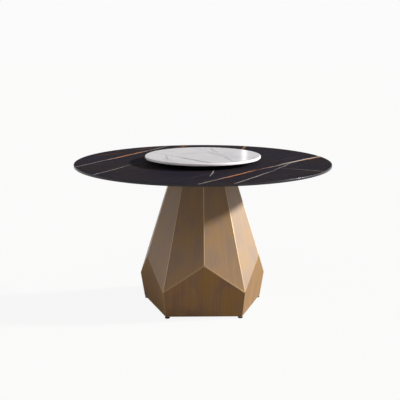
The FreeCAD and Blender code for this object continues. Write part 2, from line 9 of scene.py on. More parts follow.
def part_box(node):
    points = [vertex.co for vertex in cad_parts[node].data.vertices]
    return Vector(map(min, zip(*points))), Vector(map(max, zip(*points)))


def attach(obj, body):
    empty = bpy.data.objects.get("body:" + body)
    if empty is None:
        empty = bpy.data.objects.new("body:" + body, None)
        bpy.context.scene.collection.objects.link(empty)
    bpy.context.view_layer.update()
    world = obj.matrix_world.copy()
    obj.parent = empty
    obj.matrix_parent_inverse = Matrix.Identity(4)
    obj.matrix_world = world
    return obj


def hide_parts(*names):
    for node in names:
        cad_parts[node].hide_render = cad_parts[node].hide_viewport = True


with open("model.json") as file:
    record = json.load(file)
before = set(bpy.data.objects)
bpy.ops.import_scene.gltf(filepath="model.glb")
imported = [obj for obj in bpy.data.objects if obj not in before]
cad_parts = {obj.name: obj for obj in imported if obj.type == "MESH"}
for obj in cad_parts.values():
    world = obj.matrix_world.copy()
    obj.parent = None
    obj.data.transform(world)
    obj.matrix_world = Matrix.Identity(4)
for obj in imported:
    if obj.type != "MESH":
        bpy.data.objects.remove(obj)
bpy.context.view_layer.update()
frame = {"nodes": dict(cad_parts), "record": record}

mm = 0.001
cornerCount = 5                # corners of the pedestal, and one foot under each
weldDistance = 0.001 * mm      # vertices closer than this become one
flatAngle = 0.5                # degrees; faces that meet at less become one


def linearColour(hexColour):
    # an sRGB hex value as the linear RGBA that the shaders work in
    channels = [int(hexColour[at:at + 2], 16) / 255 for at in (1, 3, 5)]
    return [c / 12.92 if c <= 0.04045 else ((c + 0.055) / 1.055) ** 2.4 for c in channels] + [1.0]


def addNode(tree, kind, settings=None, inputs=None):
    # inputs go by socket name or number: a value sets the socket, another node's output is linked
    node = tree.nodes.new(kind)
    for name, value in (settings or {}).items():
        setattr(node, name, value)
    for key, value in (inputs or {}).items():
        if isinstance(value, bpy.types.NodeSocket):
            tree.links.new(value, node.inputs[key])
        else:
            node.inputs[key].default_value = value
    return node


def newMaterial(name):
    material = bpy.data.materials.new(name)
    material.use_nodes = True
    material.node_tree.nodes.clear()
    return material, material.node_tree


def finishMaterial(tree, surface):
    addNode(tree, "ShaderNodeOutputMaterial", {}, {"Surface": surface.outputs[0]})


def setRamp(ramp, stops):
    # stops are (position, hex colour) from low to high
    elements = ramp.color_ramp.elements
    while len(elements) < len(stops):
        elements.new(1.0)
    for element, (position, hexColour) in zip(elements, stops):
        element.position = position
        element.color = linearColour(hexColour)


def newPiece(name, bm, materials, body, replaced):
    mesh = bpy.data.meshes.new(name)
    bm.to_mesh(mesh)
    bm.free()
    piece = bpy.data.objects.new(name, mesh)
    bpy.context.scene.collection.objects.link(piece)
    for material in materials:
        mesh.materials.append(material)
    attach(piece, body)
    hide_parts(*replaced)


def nodeShape(nodeName):
    # a copy of a CAD node's mesh, with the triangles of each flat face joined again
    bm = bmesh.new()
    bm.from_mesh(frame["nodes"][nodeName].data)
    bmesh.ops.remove_doubles(bm, verts=bm.verts, dist=weldDistance)
    bmesh.ops.dissolve_limit(bm, angle_limit=math.radians(flatAngle), verts=bm.verts,
                             edges=bm.edges)
    bm.normal_update()
    return bm


def bevelEdges(bm, edges, width, segments):
    made = bmesh.ops.bevel(bm, geom=list(edges), offset=width, offset_type="OFFSET",
                           segments=segments, profile=0.5, affect="EDGES", material=-1,
                           clamp_overlap=True)
    return made["faces"]


def sharpEdges(bm, degrees):
    return [edge for edge in bm.edges
            if len(edge.link_faces) == 2 and edge.calc_face_angle() > math.radians(degrees)]


def spinProfile(bm, points, segments):
    # points are (radius, height) from the axis round to the axis again
    verts = [bm.verts.new((radius, 0, height)) for radius, height in points]
    edges = [bm.edges.new(pair) for pair in zip(verts, verts[1:])]
    bmesh.ops.spin(bm, geom=verts + edges, axis=(0, 0, 1), cent=(0, 0, 0), angle=2 * math.pi,
                   steps=segments, use_merge=True)
    bmesh.ops.remove_doubles(bm, verts=bm.verts, dist=weldDistance)
    bmesh.ops.recalc_face_normals(bm, faces=bm.faces)


slab = {"sharpAngle": 45, "flatNormal": 0.999}


def discPiece(disc, low, high):
    # a round slab with both edges rounded; its rim takes the second material
    bm = bmesh.new()
    middle = (low.z + high.z) / 2
    bmesh.ops.create_cone(bm, cap_ends=True, cap_tris=False, segments=disc["segments"],
                          radius1=high.y, radius2=high.y, depth=high.z - low.z,
                          matrix=Matrix.Translation((0, 0, middle)))
    rims = sharpEdges(bm, slab["sharpAngle"])
    lowerRim = [edge for edge in rims if edge.verts[0].co.z < middle]
    upperRim = [edge for edge in rims if edge not in lowerRim]
    bevelEdges(bm, upperRim, disc["edgeRadius"], disc["edgeSegments"])
    bevelEdges(bm, lowerRim, disc["lowerRadius"], disc["edgeSegments"])
    for face in bm.faces:
        isRim = abs(face.normal.z) < slab["flatNormal"]
        face.smooth = isRim
        face.material_index = 1 if isRim else 0
    return bm


# a vein has its full strength from its core inwards, and no end up or down
veinShape = {"core": 0.5, "height": 1000}


def veinMask(tree, place, veins):
    # each vein is a long thin ellipse of one minus the distance from its middle, so it fades to
    # its tips
    total = None
    for start, end, width, strength in veins:
        start, end = Vector(start) * mm, Vector(end) * mm
        middle, run = (start + end) / 2, end - start
        mapping = addNode(tree, "ShaderNodeMapping", {"vector_type": "TEXTURE"}, {
            "Vector": place, "Location": (middle.x, middle.y, 0),
            "Rotation": (0, 0, math.atan2(run.y, run.x)),
            "Scale": (run.length / 2, width / 2 * mm, veinShape["height"])})
        ellipse = addNode(tree, "ShaderNodeTexGradient", {"gradient_type": "SPHERICAL"},
                          {"Vector": mapping.outputs[0]})
        vein = addNode(tree, "ShaderNodeMapRange", {"interpolation_type": "SMOOTHSTEP"}, {
            "Value": ellipse.outputs["Fac"], "From Max": veinShape["core"], "To Max": strength})
        if total is None:
            total = vein.outputs[0]
        else:
            total = addNode(tree, "ShaderNodeMath", {"operation": "MAXIMUM"}, {
                0: total, 1: vein.outputs[0]}).outputs[0]
    return total


def wanderingPlace(tree, place, stone):
    # a place pushed about by a slow noise, so that straight veins wander
    noise = addNode(tree, "ShaderNodeTexNoise", {}, {
        "Vector": place, "Scale": 1 / (stone["wanderSize"] * mm), "Detail": stone["wanderDetail"]})
    centred = addNode(tree, "ShaderNodeVectorMath", {"operation": "SUBTRACT"}, {
        0: noise.outputs["Color"], 1: (0.5, 0.5, 0.5)})
    scaled = addNode(tree, "ShaderNodeVectorMath", {"operation": "SCALE"}, {
        0: centred.outputs[0], "Scale": stone["wander"] * mm})
    moved = addNode(tree, "ShaderNodeVectorMath", {"operation": "ADD"}, {
        0: place, 1: scaled.outputs[0]})
    return moved.outputs[0]


# sizes in mm
blackStone = {
    # clouds that are bluish, plain and brownish
    "clouds": [(0.36, "#26232f"), (0.5, "#27232a"), (0.64, "#2b2528")],
    "cloudSize": 260, "cloudDetail": 6.0, "cloudRoughness": 0.6,
    "wander": 22, "wanderSize": 110, "wanderDetail": 4.0,
    # hairlines beside the veins
    "hairColour": "#5a5658", "hairWidth": 12, "hairLength": 600, "hairAngle": 52,
    "hairDetail": 2.0, "hairFrom": 0.64, "hairTo": 0.82, "hairShare": 0.4,
    # the grit of a honed face is finer than this; it is drawn coarser, or it would not show
    "gritSize": 3, "gritDetail": 2.0, "gritBump": 0.08, "gritDepth": 0.2,
    "face": {"roughness": 0.7, "specular": 0.02, "hasVeins": True},
    "edge": {"roughness": 0.28, "specular": 0.3, "hasVeins": False},
    # start, end, full width, and how strongly it shows
    "white": "#d2c8c0", "rust": "#c4763a",
    "whiteVeins": [
        ((-180, -850), (300, -200), 10, 0.40), ((240, -285), (560, 95), 13, 0.45),
        ((350, -135), (760, 340), 17, 0.85), ((65, -748), (370, -225), 11, 0.45),
        ((320, -310), (480, 20), 9, 0.40), ((340, -200), (700, -370), 12, 0.22),
        ((21, -470), (54, -235), 6, 0.60), ((-720, -315), (-430, 190), 10, 0.35),
        ((-540, -5), (-250, 500), 15, 0.80), ((-330, 360), (-150, 672), 13, 0.45),
        ((-600, -540), (-325, -28), 9, 0.38), ((232, 470), (268, 620), 12, 0.30),
    ],
    "rustVeins": [
        ((40, -560), (285, -228), 12, 1.0), ((230, -300), (380, -110), 9, 0.35),
        ((440, -45), (706, 250), 14, 0.75), ((-500, 66), (-290, 430), 14, 0.90),
        ((-600, 222), (-400, 352), 14, 0.22), ((-385, 420), (-225, 595), 11, 0.32),
        ((222, 450), (276, 650), 11, 0.70), ((-165, 520), (-50, 640), 13, 0.55),
    ],
}


def makeBlackStone(name, stone, finish):
    # sintered stone, pressed and fired. Its face is honed: dull black with thin white and rust
    # veins. Its edge is polished and plain, and catches a thin line of light
    material, tree = newMaterial(name)
    place = addNode(tree, "ShaderNodeTexCoord").outputs["Object"]
    moved = wanderingPlace(tree, place, stone)
    cloud = addNode(tree, "ShaderNodeTexNoise", {}, {
        "Vector": place, "Scale": 1 / (stone["cloudSize"] * mm), "Detail": stone["cloudDetail"],
        "Roughness": stone["cloudRoughness"]})
    ground = addNode(tree, "ShaderNodeValToRGB", {}, {"Fac": cloud.outputs["Fac"]})
    setRamp(ground, stone["clouds"])
    # hairlines: noise drawn out along the way the veins run
    turned = addNode(tree, "ShaderNodeMapping", {"vector_type": "TEXTURE"}, {
        "Vector": moved, "Rotation": (0, 0, math.radians(stone["hairAngle"])),
        "Scale": (stone["hairLength"] * mm, stone["hairWidth"] * mm, 1)})
    hairs = addNode(tree, "ShaderNodeTexNoise", {"noise_dimensions": "2D"}, {
        "Vector": turned.outputs[0], "Scale": 1.0, "Detail": stone["hairDetail"]})
    hairShare = addNode(tree, "ShaderNodeMapRange", {}, {
        "Value": hairs.outputs["Fac"], "From Min": stone["hairFrom"], "From Max": stone["hairTo"],
        "To Max": stone["hairShare"]})
    colour = addNode(tree, "ShaderNodeMix", {"data_type": "RGBA"}, {
        0: hairShare.outputs[0], 6: ground.outputs[0],
        7: linearColour(stone["hairColour"])}).outputs[2]
    for kind in ("white", "rust") if finish["hasVeins"] else ():
        colour = addNode(tree, "ShaderNodeMix", {"data_type": "RGBA"}, {
            0: veinMask(tree, moved, stone[kind + "Veins"]), 6: colour,
            7: linearColour(stone[kind])}).outputs[2]
    grit = addNode(tree, "ShaderNodeTexNoise", {}, {
        "Vector": place, "Scale": 1 / (stone["gritSize"] * mm), "Detail": stone["gritDetail"]})
    bump = addNode(tree, "ShaderNodeBump", {}, {
        "Height": grit.outputs["Fac"], "Strength": stone["gritBump"],
        "Distance": stone["gritDepth"] * mm})
    surface = addNode(tree, "ShaderNodeBsdfPrincipled", {}, {
        "Base Color": colour, "Roughness": finish["roughness"],
        "Specular IOR Level": finish["specular"], "Normal": bump.outputs[0]})
    finishMaterial(tree, surface)
    return material


# sizes in mm
whiteStone = {
    "face": {"clouds": [(0.35, "#9d9ba2"), (0.55, "#aba9ae")], "vein": "#393543",
             "roughness": 0.13, "specular": 0.2},
    # painted light: the rim's clouds and vein are painted far paler than the face's, as light on
    # the rim
    "rim": {"clouds": [(0.35, "#eeebf1"), (0.55, "#faf8fc")], "vein": "#75707f",
            "roughness": 0.25, "specular": 0.5},
    "cloudSize": 180, "cloudDetail": 5.0, "cloudRoughness": 0.55,
    "wander": 18, "wanderSize": 90, "wanderDetail": 4.0,
    # start, end, full width, and how strongly it shows
    "veins": [
        ((-275, 135), (-90, -110), 13, 0.60), ((-155, -35), (60, -300), 24, 0.95),
        ((-120, -75), (-60, -165), 30, 0.55), ((-60, -165), (45, -285), 42, 0.45),
        ((-191, 40), (-172, -225), 16, 0.42), ((-200, -90), (-150, -230), 60, 0.22),
        ((48, 290), (62, 150), 14, 0.45), ((45, 225), (85, 75), 16, 0.75),
        ((20, 165), (110, -85), 70, 0.24), ((96, -25), (152, -265), 13, 0.45),
        ((104, -50), (120, -130), 26, 0.55), ((-50, 255), (40, 150), 14, 0.28),
    ],
}


def makeWhiteStone(name, stone, finish):
    # pale stone with soft grey veins, sawn and polished: a soft reflection over a clouded ground.
    # The rim's clouds and vein are painted far paler than the face's: painted light on the rim
    material, tree = newMaterial(name)
    moved = wanderingPlace(tree, addNode(tree, "ShaderNodeTexCoord").outputs["Object"], stone)
    cloud = addNode(tree, "ShaderNodeTexNoise", {}, {
        "Vector": moved, "Scale": 1 / (stone["cloudSize"] * mm), "Detail": stone["cloudDetail"],
        "Roughness": stone["cloudRoughness"]})
    ground = addNode(tree, "ShaderNodeValToRGB", {}, {"Fac": cloud.outputs["Fac"]})
    setRamp(ground, finish["clouds"])
    colour = addNode(tree, "ShaderNodeMix", {"data_type": "RGBA"}, {
        0: veinMask(tree, moved, stone["veins"]), 6: ground.outputs[0],
        7: linearColour(finish["vein"])}).outputs[2]
    surface = addNode(tree, "ShaderNodeBsdfPrincipled", {}, {
        "Base Color": colour, "Roughness": finish["roughness"],
        "Specular IOR Level": finish["specular"]})
    finishMaterial(tree, surface)
    return material


stoneTop = {"segments": 256, "edgeRadius": 2.5 * mm, "lowerRadius": 2.5 * mm, "edgeSegments": 4}
turntable = {"segments": 192, "edgeRadius": 5 * mm, "lowerRadius": 1.5 * mm, "edgeSegments": 6}

blackSlab = [makeBlackStone("sinteredStoneHoned", blackStone, blackStone["face"]),
             makeBlackStone("sinteredStonePolishedEdge", blackStone, blackStone["edge"])]
paleSlab = [makeWhiteStone("paleStonePolished", whiteStone, whiteStone["face"]),
            makeWhiteStone("paleStoneCutRim", whiteStone, whiteStone["rim"])]
newPiece("stoneTop", discPiece(stoneTop, *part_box("stone_top")), blackSlab,
         "table", ["stone_top"])
newPiece("turntableDisc", discPiece(turntable, *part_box("turntable_stone")), paleSlab,
         "turntable", ["turntable_stone"])
print("stone: top and turntable")


# sizes in mm
bronze = {
    # clouds that are cool, plain and warm
    "clouds": [(0.33, "#987b61"), (0.5, "#a0805c"), (0.67, "#a58153")],
    "cloudWidth": 90, "cloudLength": 130, "cloudDetail": 1.5, "cloudDistortion": 0.3,
    # brushing is far finer than these streaks; it is drawn coarser, or it would not show
    "bandWidth": 16, "streakWidth": 3, "streakLength": 320, "streakDetail": 2.0,
    "streakColour": "#806649", "streakFrom": 0.75, "streakTo": 1.3, "streakShare": 0.25,
    "streakBump": 0.12, "streakDepth": 0.1,
    # painted highlight: a paler gold mixed into the fold and rim strips, so the edges read as lit
    # lines
    "edge": "#d8bc92", "foldShare": 0.85, "rimShare": 0.35,
    "metallic": 0.5, "roughness": 0.85, "edgeRoughness": 0.55, "roughnessSpread": 0.06,
    "anisotropic": 0.55, "grazing": "#655e55",
    "upperCoat": 0.9, "lowerCoat": 0.0, "coatRoughness": 0.42,
    "upperSheen": 0.43, "lowerSheen": 0.08, "rubbedSheen": 0, "sheenRoughness": 0.53,
}


def makeBronze(name, finish, paintedHighlightShare, coat, sheen):
    # stainless sheet, brushed up and down, coloured bronze and lacquered or waxed: streaks along
    # the grain, soft warm and cool clouds, a wide highlight across the grain, and on the rounded
    # edges a paler gold that is a painted highlight
    material, tree = newMaterial(name)
    grain = addNode(tree, "ShaderNodeUVMap", {"uv_map": "grain"}).outputs[0]

    def alongGrain(width, length, detail, distortion):
        # noise that is width mm wide across the grain and length mm long along it
        stretched = addNode(tree, "ShaderNodeMapping", {}, {
            "Vector": grain, "Scale": (1 / (width * mm), 1 / (length * mm), 1)})
        return addNode(tree, "ShaderNodeTexNoise", {"noise_dimensions": "2D"}, {
            "Vector": stretched.outputs[0], "Scale": 1.0, "Detail": detail, "Roughness": 0.5,
            "Distortion": distortion}).outputs["Fac"]

    clouds = alongGrain(finish["cloudWidth"], finish["cloudLength"], finish["cloudDetail"],
                        finish["cloudDistortion"])
    bands = alongGrain(finish["bandWidth"], finish["streakLength"], finish["streakDetail"], 0.0)
    streaks = alongGrain(finish["streakWidth"], finish["streakLength"], finish["streakDetail"], 0.0)
    tone = addNode(tree, "ShaderNodeValToRGB", {}, {"Fac": clouds})
    setRamp(tone, finish["clouds"])
    lines = addNode(tree, "ShaderNodeMath", {"operation": "ADD"}, {0: bands, 1: streaks})
    streakShare = addNode(tree, "ShaderNodeMapRange", {}, {
        "Value": lines.outputs[0], "From Min": finish["streakFrom"], "From Max": finish["streakTo"],
        "To Max": finish["streakShare"]})
    colour = addNode(tree, "ShaderNodeMix", {"data_type": "RGBA"}, {
        0: streakShare.outputs[0], 6: tone.outputs[0],
        7: linearColour(finish["streakColour"])}).outputs[2]
    base = finish["roughness"]
    # fold and rim strips take the paler edge gold: a painted highlight over real rounded edges
    if paintedHighlightShare:
        base = finish["edgeRoughness"]
        colour = addNode(tree, "ShaderNodeMix", {"data_type": "RGBA"}, {
            0: paintedHighlightShare, 6: colour, 7: linearColour(finish["edge"])}).outputs[2]
    roughness = addNode(tree, "ShaderNodeMapRange", {}, {
        "Value": streaks, "To Min": base - finish["roughnessSpread"],
        "To Max": base + finish["roughnessSpread"]})
    tangent = addNode(tree, "ShaderNodeTangent", {"direction_type": "UV_MAP", "uv_map": "grain"})
    bump = addNode(tree, "ShaderNodeBump", {}, {
        "Height": streaks, "Strength": finish["streakBump"],
        "Distance": finish["streakDepth"] * mm})
    surface = addNode(tree, "ShaderNodeBsdfPrincipled", {}, {
        "Base Color": colour, "Metallic": finish["metallic"], "Roughness": roughness.outputs[0],
        "Specular Tint": linearColour(finish["grazing"]), "Anisotropic": finish["anisotropic"],
        "Tangent": tangent.outputs[0], "Normal": bump.outputs[0],
        "Coat Weight": coat, "Coat Roughness": finish["coatRoughness"],
        "Sheen Weight": sheen, "Sheen Roughness": finish["sheenRoughness"]})
    finishMaterial(tree, surface)
    return material


sheet = {
    # the painted highlight covers the rounded edge and a strip this wide beside it
    "edgeRadius": 1.1 * mm, "foldSegments": 3, "stripWidth": 2.4 * mm,
    # a front faces outwards by more than this, has more square metres and ends at such an angle
    "frontFacing": 0.5, "frontArea": 0.01, "frontAngle": 5,
    # a strip that rises by more than this share of its length gets the painted highlight, a flatter
    # one doesn't
    "steep": 0.8,
    # a face this close to level has its grain along X; each panel's grain starts further on
    "levelLimit": 0.01, "panelOffset": 1.7,
}


def layGrain(bm, shift):
    # UV in metres: across the grain is level, along it runs up the face
    grain = bm.loops.layers.uv.new("grain")
    for face in bm.faces:
        level = Vector((0, 0, 1)).cross(face.normal)
        level = level.normalized() if level.length > sheet["levelLimit"] else Vector((1, 0, 0))
        along = face.normal.cross(level)
        for loop in face.loops:
            loop[grain].uv = (loop.vert.co.dot(level) + shift, loop.vert.co.dot(along))


def frontFaces(bm, outward):
    return [face for face in bm.faces if face.normal.dot(outward) > sheet["frontFacing"]
            and face.calc_area() > sheet["frontArea"]]


def panelPiece(name, nodeName, number, materials):
    # the bent sheet itself, with its fold and its outer edges rounded, and a painted highlight of
    # paler gold on them
    bm = nodeShape(nodeName)
    middle = sum((vert.co for vert in bm.verts), Vector()) / len(bm.verts)
    outward = Vector((middle.x, middle.y, 0)).normalized()
    edges = {edge for face in frontFaces(bm, outward) for edge in face.edges
             if edge.calc_face_angle() > math.radians(sheet["frontAngle"])}
    for face in bevelEdges(bm, edges, sheet["edgeRadius"], sheet["foldSegments"]):
        face.smooth = True
        face.material_index = 1
    bm.normal_update()
    # the strips beside the rounded edges carry the painted highlight too, where they are steep
    strips = bmesh.ops.inset_individual(bm, faces=frontFaces(bm, outward),
                                        thickness=sheet["stripWidth"] - sheet["edgeRadius"])
    for face in strips["faces"]:
        longest = max(face.edges, key=lambda edge: edge.calc_length())
        rise = abs(longest.verts[0].co.z - longest.verts[1].co.z) / longest.calc_length()
        face.material_index = 1 if rise > sheet["steep"] else 0
    bm.normal_update()
    layGrain(bm, number * sheet["panelOffset"])
    newPiece(name, bm, materials, "table", [nodeName])


upperSheet = [
    makeBronze("bronzeSheetLacquered", bronze, 0, bronze["upperCoat"], bronze["upperSheen"]),
    makeBronze("bronzeSheetRubbedFold", bronze, bronze["foldShare"], bronze["upperCoat"],
               bronze["rubbedSheen"])]
lowerSheet = [
    makeBronze("bronzeSheetWaxed", bronze, 0, bronze["lowerCoat"], bronze["lowerSheen"]),
    makeBronze("bronzeSheetRubbedRim", bronze, bronze["rimShare"], bronze["lowerCoat"],
               bronze["rubbedSheen"])]
for corner in range(1, cornerCount + 1):
    panelPiece(f"upperPanel{corner}", f"upper_panel_{corner}", corner, upperSheet)
    panelPiece(f"lowerPanel{corner}", f"lower_panel_{corner}", corner + cornerCount, lowerSheet)
print("pedestal:", 2 * cornerCount, "sheet panels")


# slot: name, colour, metallic, roughness, grain size in mm, bump strength. The grain of a coat, a
# mould or a turning tool is finer than these sizes; it is drawn coarser, or it would not show
finishes = {
    "black_board": ("fibreboardBlackFaced", "#1d1c1b", 0.0, 0.6, 2.0, 0.25),       # dull, pebbled
    "brass": ("brassTurned", "#c9a45c", 1.0, 0.28, 0.8, 0.1),                      # yellow glint
    "black_steel": ("steelPowderCoated", "#161616", 0.0, 0.5, 1.2, 0.35),          # orange peel
    "zinc_steel": ("steelZincPlated", "#c3c6c9", 1.0, 0.32, 1.5, 0.12),            # cold, bright
    "black_nylon": ("nylonBlackMoulded", "#141414", 0.0, 0.45, 0.8, 0.15),         # satin black
    "white_nylon": ("nylonWhiteMoulded", "#dedcd4", 0.0, 0.4, 0.8, 0.1),           # satin white
    "silicone": ("siliconeFrosted", "#c4c8c9", 0.0, 0.5, 1.0, 0.1),                # soft, milky
    "aluminium": ("aluminiumAnodised", "#b9bcbe", 1.0, 0.36, 0.6, 0.12),           # silky grey
    "ball_steel": ("steelBallPolished", "#bfbfbf", 1.0, 0.08, 4.0, 0.0),           # mirror
}
grainLook = {"detail": 3.0, "darkest": 0.75, "roughnessSpread": 0.05, "depth": 0.1}


def makeFinish(name, hexColour, metallic, roughness, grainSize, bumpStrength):
    # a moulded, coated, turned or plated surface: a faint grain in its colour, gloss and bump
    material, tree = newMaterial(name)
    place = addNode(tree, "ShaderNodeTexCoord").outputs["Object"]
    grain = addNode(tree, "ShaderNodeTexNoise", {}, {
        "Vector": place, "Scale": 1 / (grainSize * mm), "Detail": grainLook["detail"]})
    darker = [c * grainLook["darkest"] for c in linearColour(hexColour)[:3]] + [1.0]
    colour = addNode(tree, "ShaderNodeMix", {"data_type": "RGBA"}, {
        0: grain.outputs["Fac"], 6: linearColour(hexColour), 7: darker}).outputs[2]
    gloss = addNode(tree, "ShaderNodeMapRange", {}, {
        "Value": grain.outputs["Fac"], "To Min": roughness - grainLook["roughnessSpread"],
        "To Max": roughness + grainLook["roughnessSpread"]})
    bump = addNode(tree, "ShaderNodeBump", {}, {
        "Height": grain.outputs["Fac"], "Strength": bumpStrength,
        "Distance": grainLook["depth"] * mm})
    surface = addNode(tree, "ShaderNodeBsdfPrincipled", {}, {
        "Base Color": colour, "Metallic": metallic, "Roughness": gloss.outputs[0],
        "Normal": bump.outputs[0]})
    finishMaterial(tree, surface)
    return material


slotFinish = {slotName: makeFinish(*values) for slotName, values in finishes.items()}
nodeSlots = {nodeName: node.data.materials[0].name for nodeName, node in frame["nodes"].items()}
for nodeName, node in frame["nodes"].items():
    if nodeSlots[nodeName] in slotFinish:
        node.data.materials[0] = slotFinish[nodeSlots[nodeName]]
print("finishes:", len(slotFinish), "slots")


foot = {
    "segments": 48, "padTaper": 0.8 * mm, "padRounding": 1.0 * mm, "padFloor": 2.0 * mm,
    # a rounding has one point between its ends, this share of it from the corner
    "roundingShare": 0.3, "smoothFrom": 0.1, "smoothTo": 0.95,
    "lip": 1.4 * mm, "socketRadius": 6.0 * mm, "mouthRadius": 4.2 * mm,
    "headRadius": 5.8 * mm, "headHeight": 2.4 * mm, "studRadius": 4.0 * mm,
    "hexagonLow": 6.4 * mm, "hexagonHigh": 9.8 * mm, "hexagonFlats": 13.0 * mm,
    "hexagonEase": 0.5 * mm, "hexagonSegments": 2, "hexagonAngle": 80,
    "threadSegments": 24, "threadDepth": 0.6 * mm, "threadPitch": 1.25 * mm,
    "threadEnd": 0.8 * mm, "threadTip": 0.9 * mm,
}


def footPadPiece(name, nodeName, body):
    # nylon pad with a wide rounded sole and a socket under a lip
    low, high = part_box(nodeName)
    radius, rounding = (high.x - low.x) / 2, foot["padRounding"]
    ease = rounding * foot["roundingShare"]
    topRadius, lipLow = radius - foot["padTaper"], high.z - foot["lip"]
    socketLow = low.z + foot["padFloor"]
    bm = bmesh.new()
    spinProfile(bm, [
        (0, low.z), (radius - rounding, low.z), (radius - ease, low.z + ease),
        (radius, low.z + rounding), (topRadius, high.z - rounding),
        (topRadius - ease, high.z - ease), (topRadius - rounding, high.z),
        (foot["mouthRadius"], high.z), (foot["mouthRadius"], lipLow),
        (foot["socketRadius"], lipLow), (foot["socketRadius"], socketLow), (0, socketLow),
    ], foot["segments"])
    bmesh.ops.translate(bm, verts=bm.verts, vec=((low.x + high.x) / 2, (low.y + high.y) / 2, 0))
    for face in bm.faces:
        face.smooth = foot["smoothFrom"] < abs(face.normal.z) < foot["smoothTo"]
    newPiece(name, bm, [slotFinish["black_nylon"]], body, [nodeName])


def footStudPiece(name, nodeName, body):
    # threaded stud: round head in the pad, spanner flats over it, and the thread drawn as rings
    low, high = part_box(nodeName)
    radius, core = foot["studRadius"], foot["studRadius"] - foot["threadDepth"]
    pitch, threadTop = foot["threadPitch"], high.z - foot["threadEnd"]
    headTop = low.z + foot["headHeight"]
    bm = bmesh.new()
    spinProfile(bm, [(0, low.z), (foot["headRadius"], low.z), (foot["headRadius"], headTop),
                     (radius, headTop), (radius, foot["hexagonLow"]), (0, foot["hexagonLow"])],
                foot["segments"])
    thread = [(0, foot["hexagonHigh"]), (radius, foot["hexagonHigh"])]
    height = foot["hexagonHigh"] + pitch
    while height + pitch < threadTop:
        thread += [(core, height), (radius, height + pitch / 2)]
        height += pitch
    thread += [(core, threadTop), (radius - foot["threadTip"], high.z), (0, high.z)]
    spinProfile(bm, thread, foot["threadSegments"])
    cornerRadius = foot["hexagonFlats"] / math.sqrt(3)
    hexagonMiddle = (foot["hexagonHigh"] + foot["hexagonLow"]) / 2
    hexagon = bmesh.ops.create_cone(
        bm, cap_ends=True, cap_tris=False, segments=6, radius1=cornerRadius,
        radius2=cornerRadius, depth=foot["hexagonHigh"] - foot["hexagonLow"],
        matrix=Matrix.Translation((0, 0, hexagonMiddle)))
    edges = {edge for vert in hexagon["verts"] for edge in vert.link_edges}
    ends = [edge for edge in edges if edge.calc_face_angle() > math.radians(foot["hexagonAngle"])]
    bevelEdges(bm, ends, foot["hexagonEase"], foot["hexagonSegments"])
    bmesh.ops.translate(bm, verts=bm.verts, vec=((low.x + high.x) / 2, (low.y + high.y) / 2, 0))
    newPiece(name, bm, [slotFinish["zinc_steel"]], body, [nodeName])


for corner in range(1, cornerCount + 1):
    footPadPiece(f"footPad{corner}", f"foot_pad_{corner}", f"foot_{corner}")
    footStudPiece(f"footStud{corner}", f"foot_stud_{corner}", f"foot_screw_{corner}")
print("feet:", cornerCount, "pads and studs")


# edge radius in mm of each turned, moulded or punched piece that only needs its edges broken
easedEdges = {
    "backing_board": 0.8, "top_flange": 0.8, "flange_bolts": 0.4, "flange_washers": 0.2,
    "floor_plate": 0.8, "weld_nuts": 0.5, "board_inserts": 0.2, "bearing_fixed_ring": 0.4,
    "bearing_turning_ring": 0.4, "lower_grips": 0.4, "upper_grips": 0.4,
}
# degrees: edges sharper than the first are broken, and faces that bend by between the other two
# belong to a round surface
easing = {"sharpAngle": 50, "flatBend": 1, "roundBend": 30, "segments": 2, "mostCorners": 4}


def easedPiece(name, nodeName, radius):
    bm = nodeShape(nodeName)
    bevelEdges(bm, sharpEdges(bm, easing["sharpAngle"]), radius, easing["segments"])
    bm.normal_update()
    flatBend, roundBend = math.radians(easing["flatBend"]), math.radians(easing["roundBend"])
    for face in bm.faces:
        isRound = any(flatBend < edge.calc_face_angle(0) < roundBend for edge in face.edges)
        face.smooth = isRound and len(face.verts) <= easing["mostCorners"]
    body = next(bodyName for bodyName, nodes in frame["record"]["behaviour"]["bodies"].items()
                if nodeName in nodes)
    slotName = nodeSlots[nodeName]
    newPiece(name, bm, [slotFinish[slotName]], body, [nodeName])


for nodeName, radius in easedEdges.items():
    first, *rest = nodeName.split("_")
    easedPiece(first + "".join(word.capitalize() for word in rest), nodeName, radius * mm)
print("eased:", len(easedEdges), "pieces")


balls = {"count": 36, "rings": 16, "segments": 24}

ballLow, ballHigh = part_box("bearing_balls")
ballRadius, ballMiddle = (ballHigh.z - ballLow.z) / 2, (ballLow.z + ballHigh.z) / 2
bm = bmesh.new()
for number in range(balls["count"]):
    turn = Matrix.Rotation(number * 2 * math.pi / balls["count"], 4, "Z")
    place = turn @ Matrix.Translation((ballHigh.x - ballRadius, 0, ballMiddle))
    bmesh.ops.create_uvsphere(bm, u_segments=balls["segments"], v_segments=balls["rings"],
                              radius=ballRadius, matrix=place)
for face in bm.faces:
    face.smooth = True
newPiece("bearingBalls", bm, [slotFinish["ball_steel"]], "ball_cage",
         ["bearing_balls"])
print("bearing:", balls["count"], "balls")


def seenShare(tree, reflectedShare):
    # one for what the camera sees, and the share given for what shows in gloss or glass
    rays = addNode(tree, "ShaderNodeLightPath")
    through = addNode(tree, "ShaderNodeMath", {"operation": "MAXIMUM"}, {
        0: rays.outputs["Is Glossy Ray"], 1: rays.outputs["Is Transmission Ray"]})
    reflected = addNode(tree, "ShaderNodeMath", {"operation": "MULTIPLY"}, {
        0: through.outputs[0], 1: reflectedShare})
    return addNode(tree, "ShaderNodeMath", {"operation": "MAXIMUM"}, {
        0: rays.outputs["Is Camera Ray"], 1: reflected.outputs[0]}).outputs[0]


# plain pale floor, in metres. Seen directly it glows a little, so it keeps only a soft shadow. In
# gloss and glass the glow sets in from near to far, so that it doesn't light the pedestal
floorLook = {
    "radius": 30.0, "segments": 64, "colour": "#b2aba6", "seenColour": "#404040", "glow": 0.905,
    "near": 0.6, "far": 1.4,
}

